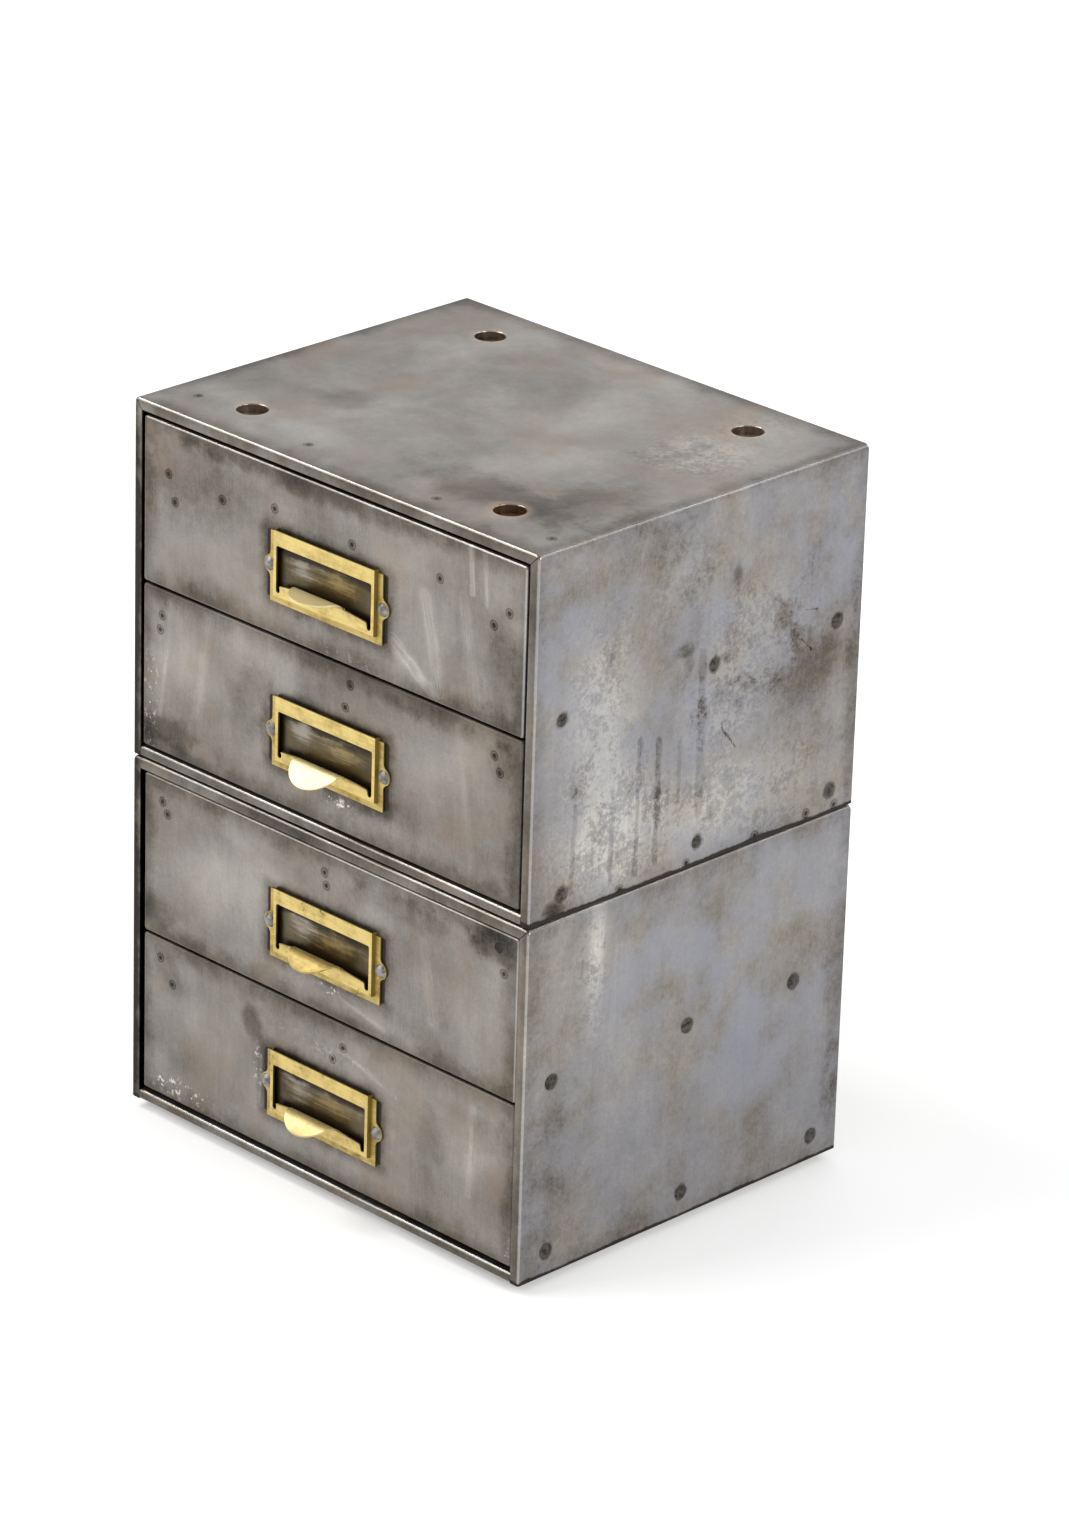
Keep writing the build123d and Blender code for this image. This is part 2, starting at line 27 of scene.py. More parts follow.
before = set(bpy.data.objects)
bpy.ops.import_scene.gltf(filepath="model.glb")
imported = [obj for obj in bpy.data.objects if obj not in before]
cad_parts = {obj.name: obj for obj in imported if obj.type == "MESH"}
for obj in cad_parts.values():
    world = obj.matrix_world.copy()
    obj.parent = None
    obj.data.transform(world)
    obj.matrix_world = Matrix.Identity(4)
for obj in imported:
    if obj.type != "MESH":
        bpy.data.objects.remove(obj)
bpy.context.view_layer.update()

MM = 0.001
UNITS = ("upper", "lower")
DRAWERS = (1, 2, 3, 4)
UNIT_OF = {1: "upper", 2: "upper", 3: "lower", 4: "lower"}
CASING = {unit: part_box(f"{unit}_casing") for unit in UNITS}

# Sizes of the steel's patterns, across one feature, or along X, Y and Z. The rolled skin's mottle and
# the brush's grain are finer in the real sheet: these sizes show.
CLOUD_SIZE = 70 * MM
TINT_SIZE = 45 * MM
BLOTCH_SIZE = 16 * MM
MOTTLE_SIZE = 3.2 * MM
PORE_SIZE = 1.3 * MM
FLECK_SIZE = 3.4 * MM
GRAIN_SIZE = (0.9 * MM, 0.9 * MM, 14 * MM)
RUN_SIZE = (6.5 * MM, 6.5 * MM, 120 * MM)
DRIP_SIZE = (7.5 * MM, 7.5 * MM, 400 * MM)
SMEAR_SIZE = (22 * MM, 22 * MM, 2.4 * MM)
SCRATCH_SIZE = (1.2 * MM, 30 * MM, 1.0)  # across a stroke and along it; the third axis isn't used
# Sizes of the brass's and the rivets' patterns.
TARNISH_SIZE = 10 * MM
SPECK_SIZE = 1.8 * MM
STREAK_SIZE = (16 * MM, 3 * MM, 1.3 * MM)
RIVET_SKIN_SIZE = 3 * MM

# A spot-weld mark: shares of its radius with how pale the sheet is there, where 0.5 is the sheet
# itself. From the middle out it is a dark pit, a rubbed ring and a dark rim.
MARK_RINGS = ((0.0, 0.0), (0.36, 0.08), (0.55, 0.44), (0.68, 0.28), (0.80, 0.24), (1.0, 0.5))
MARK_DEPTH = 0.4 * MM
RIVET_HALO = (3.8 * MM, 5.8 * MM)

# Behind each pull's window: how far in from the plate's rim the window starts, and a painted
# reflection of the brass and a painted highlight off the plate's middle, with radii in millimetres.
WINDOW_EDGE = 6.5 * MM
BRASS_REFLECTION_OFFSET, BRASS_REFLECTION_RADII = (9 * MM, 0.0, 3 * MM), (21, 40, 7)
WINDOW_HIGHLIGHT_OFFSET, WINDOW_HIGHLIGHT_RADII = (-19 * MM, 0.0, 5 * MM), (12, 40, 8)
# colour of the painted reflection of the brass in each pull's window
BRASS_REFLECTION_TINT = "#94804C"
RUSTY_CUP = "#8C6A48"

# Heights off the drawer's front between which a pull's foot, its frame's step and its lip fade in.
PLATE_FOOT = (1.2 * MM, 2.4 * MM)
FRAME_STEP = (3.4 * MM, 4.2 * MM)
LIP_RISE = (8.5 * MM, 4.5 * MM)

# Spot-weld marks as found, in millimetres from the left side and the underside of their own unit.
FRONT_MARKS = {
    1: ((27.7, 169.8), (32.9, 155.3), (69.9, 167.4), (110.3, 174.4), (169.1, 171.7), (234.5, 172.7),
        (274.0, 159.3), (285.0, 168.9)),
    2: ((23.2, 87.4), (21.8, 78.9), (169.6, 93.2), (166.2, 79.6), (276.9, 88.3), (281.2, 80.0)),
    3: ((24.5, 186.0), (28.4, 179.6), (152.6, 187.5), (154.1, 180.4), (283.9, 189.6), (288.2, 176.2)),
    4: ((23.4, 92.5), (33.1, 79.4), (169.0, 90.3), (161.1, 81.2)),
}
# On the right side: millimetres behind the front and above the unit's underside.
SIDE_MARKS = ((66.0, 3.2), (116.0, 3.1), (168.0, 3.8), (208.0, 4.9), (230.0, 3.8))
# On the top: millimetres from the left side and behind the front.
TOP_MARKS = ((21.9, 25.9), (113.7, 20.3), (213.3, 16.8), (291.8, 21.9))

# Runner rivets of each drawer: millimetres above its front's lower edge, and behind the middle.
RIVET_ROWS = {1: (7.9, (-102.0, 9.7, 104.0)), 2: (5.3, (-98.7, 1.5, 104.0)), 3: (9.0, (-102.0, 0.0, 82.0)),
              4: (5.5, (-102.0, 0.0, 102.0))}

# Each finger lip as found: how pale its end is painted, partly rubbed wear and partly a painted
# highlight, and how dull and flecked it was left.
LIP_WEAR_AND_HIGHLIGHT = {1: (0.95, 0.2), 2: (0.95, 0.05), 3: (0.05, 0.9), 4: (0.40, 0.7)}

# Patches of finish as found: place and radii in the same millimetres, what changes, how strongly.
FRONT_PATCHES = {
    1: ((48, 128, 40, 26, "tone", 0.06), (40, 172, 50, 30, "tone", -0.14), (150, 194, 120, 9, "tone", -0.12),
        (62, 112, 34, 10, "tone", -0.10), (205, 160, 34, 30, "tone", 0.08), (282, 140, 12, 50, "tone", -0.08),
        (155, 106, 60, 6, "flecks", 0.3)),
    2: ((52, 66, 30, 26, "tone", 0.10), (14, 40, 8, 34, "flecks", 1.0), (26, 22, 26, 12, "tone", -0.22),
        (92, 62, 18, 26, "tone", -0.14), (160, 24, 16, 4, "flecks", 1.6), (216, 70, 40, 22, "tone", 0.05),
        (240, 94, 50, 8, "tone", -0.10), (281, 86, 12, 14, "tone", -0.14), (190, 32, 50, 12, "tone", -0.08)),
    3: ((70, 150, 46, 28, "tone", 0.13), (284, 190, 22, 13, "tone", -0.34), (180, 114, 50, 6, "tone", 0.10),
        (157, 121, 14, 3, "flecks", 1.4), (215, 186, 50, 10, "tone", -0.14), (240, 140, 40, 24, "tone", 0.08),
        (22, 118, 20, 14, "tone", -0.12)),
    4: ((42, 18, 30, 8, "flecks", 1.5), (60, 60, 34, 24, "tone", 0.08), (102, 50, 4, 20, "flecks", 1.3),
        (97, 80, 10, 12, "tone", -0.20), (262, 62, 22, 22, "tone", 0.10), (236, 60, 14, 22, "tone", -0.12),
        (296, 16, 3, 16, "flecks", 0.6), (150, 84, 60, 6, "flecks", 0.3), (160, 20, 90, 10, "tone", 0.05),
        (30, 84, 20, 14, "tone", -0.12), (280, 80, 18, 16, "tone", -0.08)),
}
# Strokes rubbed pale or dark: from, to, half width and strength.
FRONT_STROKES = {
    1: ((200, 128, 231, 108, 6.0, 0.21), (224, 160, 236, 110, 7.0, 0.14), (256, 200, 258, 172, 3.0, 0.26),
        (266, 199, 269, 168, 2.4, 0.16), (252, 168, 262, 112, 5.0, 0.10)),
    2: ((30, 96, 22, 30, 3.5, 0.12), (60, 96, 52, 40, 6.0, 0.10), (250, 96, 262, 20, 4.0, 0.08)),
    3: ((150, 122, 200, 112, 2.2, 0.12), (225, 190, 236, 130, 6.0, 0.10)),
    4: ((268, 90, 266, 40, 5.0, 0.12), (105, 62, 104, 34, 1.2, 0.24), (170, 88, 210, 76, 2.0, 0.12)),
}
SIDE_PATCHES = {
    "upper": ((46, 110, 30, 64, "skin", 1.0), (62, 40, 50, 52, "skin", 1.3), (150, 30, 80, 32, "skin", 0.9),
              (165, 125, 54, 34, "skin", 0.8), (140, 84, 40, 34, "skin", 0.9),
              (110, 165, 34, 30, "skin", 0.5), (78, 40, 56, 40, "wax", 0.7),
              (50, 80, 46, 100, "tone", 0.14), (100, 34, 110, 36, "tone", 0.14),
              (82, 84, 22, 20, "tone", -0.10), (120, 92, 8, 34, "tone", -0.08),
              (110, 125, 10, 5, "tone", -0.18), (113, 119, 5, 9, "tone", -0.16),
              (117, 138, 6, 12, "tone", -0.12), (147, 158, 5, 10, "tone", -0.20),
              (18, 5, 8, 7, "tone", -0.32), (34, 62, 8, 22, "tone", -0.12), (95, 184, 34, 20, "tone", -0.08),
              (205, 84, 30, 30, "tone", -0.08), (215, 120, 40, 80, "tone", -0.08),
              (52, 152, 16, 18, "tone", -0.08), (240, 60, 10, 70, "tone", -0.10),
              (80, 92, 26, 26, "blue", 0.34), (120, 88, 12, 44, "blue", 0.40),
              (184, 110, 56, 30, "blue", 0.26), (222, 160, 36, 60, "blue", 0.30),
              (14, 150, 24, 66, "blue", 0.30), (134, 160, 26, 40, "blue", 0.2),
              (100, 20, 90, 26, "blue", 0.16)),
    "lower": ((50, 170, 15, 50, "skin", 1.1), (30, 160, 18, 60, "tone", 0.05),
              (52, 190, 12, 30, "tone", 0.12), (238, 100, 12, 100, "tone", -0.12),
              (120, 190, 70, 16, "tone", -0.04), (70, 120, 24, 70, "tone", 0.06),
              (20, 60, 16, 60, "tone", -0.10), (100, 150, 60, 70, "blue", 0.30),
              (180, 120, 70, 100, "blue", 0.36)),
}
SIDE_STROKES = {
    "upper": ((59, 60, 59, 10, 2.4, -0.19), (78, 84, 77, 8, 3.0, -0.21), (92, 80, 92, 12, 2.5, -0.20),
              (123, 120, 124, 30, 4.4, -0.15), (32, 60, 30, 12, 2.2, -0.15), (108, 74, 108, 40, 2.2, -0.13),
              (143, 69, 150, 60, 0.9, -0.30), (139, 76, 141, 70, 0.8, -0.25),
              (198, 108, 206, 100, 0.8, -0.25), (200, 124, 210, 122, 0.8, -0.22),
              (62, 140, 78, 196, 6.0, 0.07), (84, 150, 98, 192, 4.0, 0.06)),
    "lower": ((52, 204, 50, 130, 8.0, 0.11), (66, 190, 64, 120, 2.4, 0.06), (150, 190, 150, 120, 4.0, 0.04)),
}
# on the upper top, the darker patches at the front right are partly a painted reflection
TOP_PATCHES = {
    "upper": ((258, 165, 36, 44, "skin", 1.0), (245, 214, 26, 30, "skin", 0.7),
              (258, 165, 34, 44, "tone", 0.10), (225, 44, 70, 26, "tone", -0.22),
              (268, 60, 30, 50, "tone", -0.16), (80, 84, 22, 22, "tone", -0.14),
              (110, 34, 60, 16, "tone", 0.10), (30, 40, 30, 14, "tone", 0.08),
              (250, 27, 26, 12, "tone", 0.16)),
    "lower": (),
}
# Rust in the stacking cups: their places like those on the top, and the patch's radii.
CUP_PLACES = [(x, y) for x in (55.5, 249.5) for y in (34, 210)]
CUP_RUST = (13, 13, 8)
# Painted shade in the seam under a unit, and a darker strip down its left flange: place, radii and
# strength. A radius of 3000 mm doesn't end on the cabinet.
SEAM_SHADE = (122, 0), (3000, 3000, 2.8), -0.80
FLANGE_DARKENING = (1, 103), (8, 8, 180), -0.40

# The studio: half the floor's side in metres, how brightly it and the air show to the camera, the
# camera's sensor in millimetres, and the soft lights with place, width and height in metres and watts.
FLOOR_HALF = 6.0
FLOOR_GLOW = 0.30
AIR_STRENGTH = 0.55
AIR_GLOW = 0.60
SENSOR_WIDTH = 36.0
CLIP_END = 50.0
LIGHT_TARGET = Vector((0, 0, 0.2))
SOFTBOXES = (
    ("key_softbox", (-1.6, -2.6, 2.6), (1.8, 1.8), 49.0),
    ("side_softbox", (3.2, 0.4, 1.8), (1.6, 1.6), 44.0),
    ("rear_softbox", (-1.8, 2.8, 2.6), (2.4, 1.6), 16.0),
    ("high_left_softbox", (-2.3, -0.8, 2.9), (0.9, 0.9), 34.0),
    ("high_right_softbox", (1.5, 2.4, 2.5), (0.8, 0.8), 13.0),
)


def linear(hex_colour):
    """sRGB hex colour to a linear RGBA tuple."""
    values = [int(hex_colour[i : i + 2], 16) / 255 for i in (1, 3, 5)]
    return tuple(v / 12.92 if v <= 0.04045 else ((v + 0.055) / 1.055) ** 2.4 for v in values) + (1.0,)


def opaque(colour):
    """A property's colour with the fourth value that sockets and ramps need."""
    return tuple(colour) + (1.0,)


def add(tree, kind, inputs=(), **settings):
    """Adds a node with its settings; each input is a number, a colour, a node or a socket."""
    node = tree.nodes.new(kind)
    for name, value in settings.items():
        setattr(node, name, value)
    for key, value in dict(inputs).items():
        if isinstance(value, bpy.types.Node):
            value = value.outputs[0]
        if isinstance(value, bpy.types.NodeSocket):
            tree.links.new(value, node.inputs[key])
        else:
            node.inputs[key].default_value = value
    return node


def new_material(name):
    """A material with an empty node tree."""
    material = bpy.data.materials.new(name)
    material.use_nodes = True
    material.node_tree.nodes.clear()
    return material, material.node_tree


def close_material(tree, **sockets):
    """Ends a tree with its shader and output; an underscore in a socket's name stands for a space."""
    named = {name.replace("_", " "): value for name, value in sockets.items()}
    shader = add(tree, "ShaderNodeBsdfPrincipled", named)
    add(tree, "ShaderNodeOutputMaterial", {"Surface": shader})


def total(tree, start, terms):
    """start plus the sum of value times weight, where each of them may be a number or a socket."""
    for value, weight in terms:
        start = add(tree, "ShaderNodeMath", {0: value, 1: weight, 2: start}, operation="MULTIPLY_ADD")
    return start


def fade(tree, value, full, none, strength=1.0, ragged=()):
    """Strength where the value is at full, falling smoothly to 0 where it is at none.

    ragged is noise and weights, added to the value first to give the mask a ragged outline.
    """
    return add(tree, "ShaderNodeMapRange",
               {0: total(tree, value, ragged), 1: full, 2: none, 3: strength, 4: 0.0},
               interpolation_type="SMOOTHSTEP")


def noise(tree, place, seed, across, detail=4.0, roughness=0.6, distortion=0.0):
    """Noise about zero, with features this many metres across, or one size for each axis."""
    if isinstance(across, tuple):
        scale = tuple(1 / size for size in across)
        place = add(tree, "ShaderNodeVectorMath", {0: place, 1: scale}, operation="MULTIPLY")
        across = 1.0
    texture = add(tree, "ShaderNodeTexNoise",
                  {"Vector": place, "W": seed, "Scale": 1 / across, "Detail": detail, "Roughness": roughness,
                   "Distortion": distortion}, noise_dimensions="4D")
    return add(tree, "ShaderNodeMath", {0: texture.outputs[0], 1: 0.5}, operation="SUBTRACT")


def set_stops(ramp, stops):
    """Gives a colour ramp its stops: positions and colours of three values."""
    elements = ramp.color_ramp.elements
    elements[0].position, elements[1].position = stops[0][0], stops[-1][0]
    for position, _ in stops[1:-1]:
        elements.new(position)
    for element, (_, colour) in zip(elements, stops):
        element.color = opaque(colour)


def wall_distances(tree, place, low, high):
    """Distances to the nearer wall of a box in X, in Y and in Z."""
    below = add(tree, "ShaderNodeVectorMath", {0: place, 1: low}, operation="SUBTRACT")
    above = add(tree, "ShaderNodeVectorMath", {0: high, 1: place}, operation="SUBTRACT")
    nearer = add(tree, "ShaderNodeVectorMath", {0: below, 1: above}, operation="MINIMUM")
    return add(tree, "ShaderNodeSeparateXYZ", {0: nearer}).outputs


def edge_distance(tree, walls):
    """Distance to the nearest edge of a box, for a point on one of its walls.

    The middle one of the three distances to the pairs of walls: the smallest is the wall itself.
    """
    x, y, z = walls
    small = add(tree, "ShaderNodeMath", {0: x, 1: y}, operation="MINIMUM")
    large = add(tree, "ShaderNodeMath", {0: x, 1: y}, operation="MAXIMUM")
    capped = add(tree, "ShaderNodeMath", {0: large, 1: z}, operation="MINIMUM")
    return add(tree, "ShaderNodeMath", {0: small, 1: capped}, operation="MAXIMUM")


def nearest(tree, place, points, flat):
    """Distance to the nearest of several points, measured square to the axis that flat leaves out."""
    level = add(tree, "ShaderNodeVectorMath", {0: place, 1: flat}, operation="MULTIPLY")
    best = None
    for point in points:
        spot = tuple(p * f for p, f in zip(point, flat))
        gap = add(tree, "ShaderNodeVectorMath", {0: level, 1: spot}, operation="DISTANCE").outputs["Value"]
        best = gap if best is None else add(tree, "ShaderNodeMath", {0: best, 1: gap}, operation="MINIMUM")
    return best


def ellipsoid(tree, place, centre, radii):
    """Distance from a centre, as a share of the radii in millimetres."""
    scale = tuple(1 / (radius * MM) for radius in radii)
    shifted = add(tree, "ShaderNodeVectorMath", {0: place, 1: centre}, operation="SUBTRACT")
    scaled = add(tree, "ShaderNodeVectorMath", {0: shifted, 1: scale}, operation="MULTIPLY")
    return add(tree, "ShaderNodeVectorMath", {0: scaled}, operation="LENGTH").outputs["Value"]


def from_line(tree, place, start, end):
    """Distance from the stretch of line between two points, and how far along it, both in metres."""
    along = Vector(end) - Vector(start)
    shifted = add(tree, "ShaderNodeVectorMath", {0: place, 1: start}, operation="SUBTRACT")
    reach = add(tree, "ShaderNodeVectorMath", {0: shifted, 1: tuple(along / along.length_squared)},
                operation="DOT_PRODUCT").outputs["Value"]
    held = add(tree, "ShaderNodeClamp", {"Value": reach})
    foot = add(tree, "ShaderNodeVectorMath", {0: tuple(along), "Scale": held}, operation="SCALE")
    apart = add(tree, "ShaderNodeVectorMath", {0: shifted, 1: foot}, operation="DISTANCE").outputs["Value"]
    return apart, add(tree, "ShaderNodeMath", {0: reach, 1: along.length}, operation="MULTIPLY")


def sheet_patterns(tree, place, seed):
    """The noises that a sheet's finish is made of, from broad clouds to fine pores."""
    return SimpleNamespace(
        seed=seed, place=place,
        clouds=noise(tree, place, seed, CLOUD_SIZE, detail=4.0, roughness=0.55, distortion=0.5),
        blotches=noise(tree, place, seed + 3.0, BLOTCH_SIZE, detail=6.0, roughness=0.66),
        mottle=noise(tree, place, seed + 5.0, MOTTLE_SIZE, detail=3.0, roughness=0.7),
        pores=noise(tree, place, seed + 6.0, PORE_SIZE, detail=2.0),
        grain=noise(tree, place, seed, GRAIN_SIZE, detail=2.0),
        runs=noise(tree, place, seed + 7.0, RUN_SIZE, detail=2.0, roughness=0.5))


def patch_terms(tree, sheet, patches):
    """Terms for the patches of a finish, and the amount of each kind of patch over the sheet.

    A patch is a centre, radii in millimetres, what it changes and how strongly.
    """
    terms = []
    amounts = dict.fromkeys(("skin", "wax", "flecks", "blue", "rust"), 0.0)
    for centre, radii, kind, strength in patches:
        inside = fade(tree, ellipsoid(tree, sheet.place, centre, radii), 0.30, 1.10,
                      ragged=[(sheet.blotches, 1.3), (sheet.clouds, 0.5)])
        if kind == "tone":
            terms.append((inside, strength))
        else:
            amounts[kind] = total(tree, amounts[kind], [(inside, strength)])
    if amounts["skin"]:
        # pale ragged mill skin, with holes where it has come off
        rough = total(tree, 0.0, [(sheet.blotches, 0.8), (sheet.mottle, 0.45), (sheet.pores, 0.25)])
        holes = fade(tree, rough, -0.16, -0.08, -0.10)
        terms.append((total(tree, fade(tree, rough, 0.03, -0.06, 0.15), [(holes, 1.0)]), amounts["skin"]))
    if amounts["wax"]:
        # dried runs of thin wax: they cover the pale skin with a darker film that hangs in drips
        drips = noise(tree, sheet.place, sheet.seed + 9.0, DRIP_SIZE, detail=1.0, roughness=0.4)
        film = fade(tree, drips, -0.02, -0.07, -0.11, ragged=[(sheet.clouds, 0.12)])
        terms.append((film, amounts["wax"]))
    if amounts["flecks"]:
        specks = noise(tree, sheet.place, sheet.seed + 12.0, FLECK_SIZE, detail=3.0, roughness=0.75)
        terms.append((fade(tree, specks, 0.12, 0.05, 0.55), amounts["flecks"]))
    if amounts["rust"]:
        terms.append((amounts["rust"], 0.46))
    return terms, amounts


def stroke_terms(tree, sheet, strokes):
    """Terms for rubbed strokes: two points, a half width in millimetres and a strength each.

    A pale stroke has fine scratches side by side, as a rubbing pad leaves them.
    """
    terms = []
    for start, end, half_width, strength in strokes:
        apart, reach = from_line(tree, sheet.place, start, end)
        # a rubbed stroke wanders more than a dark smudge
        wander = 1.0 if strength > 0 else 0.45
        inside = fade(tree, apart, half_width * MM * 0.35, half_width * MM,
                      ragged=[(sheet.runs, 6 * MM * wander), (sheet.blotches, 5 * MM * wander),
                              (sheet.grain, 3 * MM)])
        if strength > 0:
            sheared = add(tree, "ShaderNodeCombineXYZ", {0: apart, 1: reach, 2: 0.0})
            scratches = noise(tree, sheared, sheet.seed + half_width, SCRATCH_SIZE, detail=2.0)
            strength = total(tree, 0.75 * strength, [(scratches, 3.2 * strength)])
        terms.append((inside, strength))
    return terms


def weld_marks(tree, sheet, look, marks, flat):
    """A term for the rings of spot-weld marks, and the shape of their dishes."""
    gap = nearest(tree, sheet.place, marks, flat)
    share = add(tree, "ShaderNodeMath",
                {0: total(tree, gap, [(sheet.mottle, MM)]), 1: look.mark_radius}, operation="DIVIDE")
    ring = add(tree, "ShaderNodeValToRGB", {0: share})
    set_stops(ring, [(at, (paleness,) * 3) for at, paleness in MARK_RINGS])
    return (total(tree, -0.5, [(ring.outputs[0], 1.0)]), 1.0), fade(tree, gap, 0.0, look.mark_radius * 0.8)


def pull_terms(tree, sheet, look, middle, half):
    """Terms for the grime and painted shadow round a pull's plate and the painted shade on the sheet in
    its window, and the share of the painted reflection of the brass.

    The reflection of the brass is painted on in smears. The plate is given by its middle and its half
    sizes.
    """
    shifted = add(tree, "ShaderNodeVectorMath", {0: sheet.place, 1: middle}, operation="SUBTRACT")
    away = add(tree, "ShaderNodeVectorMath", {0: shifted}, operation="ABSOLUTE")
    beyond = add(tree, "ShaderNodeVectorMath", {0: away, 1: half}, operation="SUBTRACT")
    outside = add(tree, "ShaderNodeVectorMath", {0: beyond, 1: (0, 0, 0)}, operation="MAXIMUM")
    flatly = add(tree, "ShaderNodeVectorMath", {0: outside, 1: (1, 0, 1)}, operation="MULTIPLY")
    rim = add(tree, "ShaderNodeVectorMath", {0: flatly}, operation="LENGTH").outputs["Value"]
    # grime and a painted shadow round the plate
    grime_and_shadow = fade(tree, rim, -MM, look.pull_grime_and_shadow_width, ragged=[(sheet.blotches, 12 * MM)])
    # painted shade: under the plate, where the sheet shows through the window, it is a little darker
    under = fade(tree, rim, 0.0, 2 * MM)
    # negative inside the plate: how far in from the nearest of its sides
    beyond_x, _, beyond_z = add(tree, "ShaderNodeSeparateXYZ", {0: beyond}).outputs
    inner = total(tree, add(tree, "ShaderNodeMath", {0: beyond_x, 1: beyond_z}, operation="MAXIMUM"),
                  [(sheet.blotches, 10 * MM)])
    # painted shade in the window, darker along its edges under the frame
    window_shade = fade(tree, inner, -WINDOW_EDGE, -WINDOW_EDGE - 5.0 * MM, -0.40)

    smears = noise(tree, sheet.place, sheet.seed + 13.0, SMEAR_SIZE, detail=3.0)
    # painted reflection of the brass plate in the sheet behind it, laid in smears
    brass_reflection = fade(tree, ellipsoid(tree, sheet.place, Vector(middle) + Vector(BRASS_REFLECTION_OFFSET), BRASS_REFLECTION_RADII),
                  -0.2, 1.2, 0.80, ragged=[(sheet.blotches, 1.6), (sheet.mottle, 0.8), (smears, 2.6)])
    # painted highlight on the left of the window
    rubbed = fade(tree, ellipsoid(tree, sheet.place, Vector(middle) + Vector(WINDOW_HIGHLIGHT_OFFSET), WINDOW_HIGHLIGHT_RADII),
                  0.1, 1.25, ragged=[(sheet.blotches, 1.8), (smears, 2.4)])
    terms = [(grime_and_shadow, -0.32), (under, -0.08), (window_shade, under), (brass_reflection, 0.66), (rubbed, 0.52)]
    # a thin painted reflection of the brass over the middle of the window
    film = fade(tree, inner, -WINDOW_EDGE - 5.5 * MM, -WINDOW_EDGE, 0.20)
    return terms, add(tree, "ShaderNodeMath", {0: brass_reflection, 1: film}, operation="MAXIMUM")


def sheet_colour(tree, sheet, look, tone, sideways, blue):
    """Colour of a sheet by its tone, with blue-grey temper colours, most on the sides, and brown clouds."""
    ramp = add(tree, "ShaderNodeValToRGB", {0: tone})
    set_stops(ramp, ((0.0, look.dark_grime_and_shade), (0.28, look.toning_brown), (0.52, look.steel_colour),
                     (0.72, look.steel_rubbed), (1.0, look.steel_bright)))
    tint = noise(tree, sheet.place, sheet.seed + 11.0, TINT_SIZE, detail=5.0, roughness=0.62)
    # where the sheet is dark, from grime and scale or from painted shade, the temper colours don't show
    clean = fade(tree, tone, 0.40, 0.12)
    cool = total(tree, 0.04, [(sideways, 0.30), (blue, 0.7)])
    cool = total(tree, 0.0, [(fade(tree, tint, 0.10, -0.16), cool)])
    warm = fade(tree, tint, -0.20, 0.06, total(tree, 0.40, [(sideways, -0.30)]))
    colour = ramp.outputs[0]
    for amount, temper in ((cool, look.temper_blue), (warm, look.temper_brown)):
        colour = add(tree, "ShaderNodeMix", {"Factor": total(tree, 0.0, [(amount, clean)]), "A": colour,
                                             "B": opaque(temper)}, data_type="RGBA").outputs["Result"]
    return colour


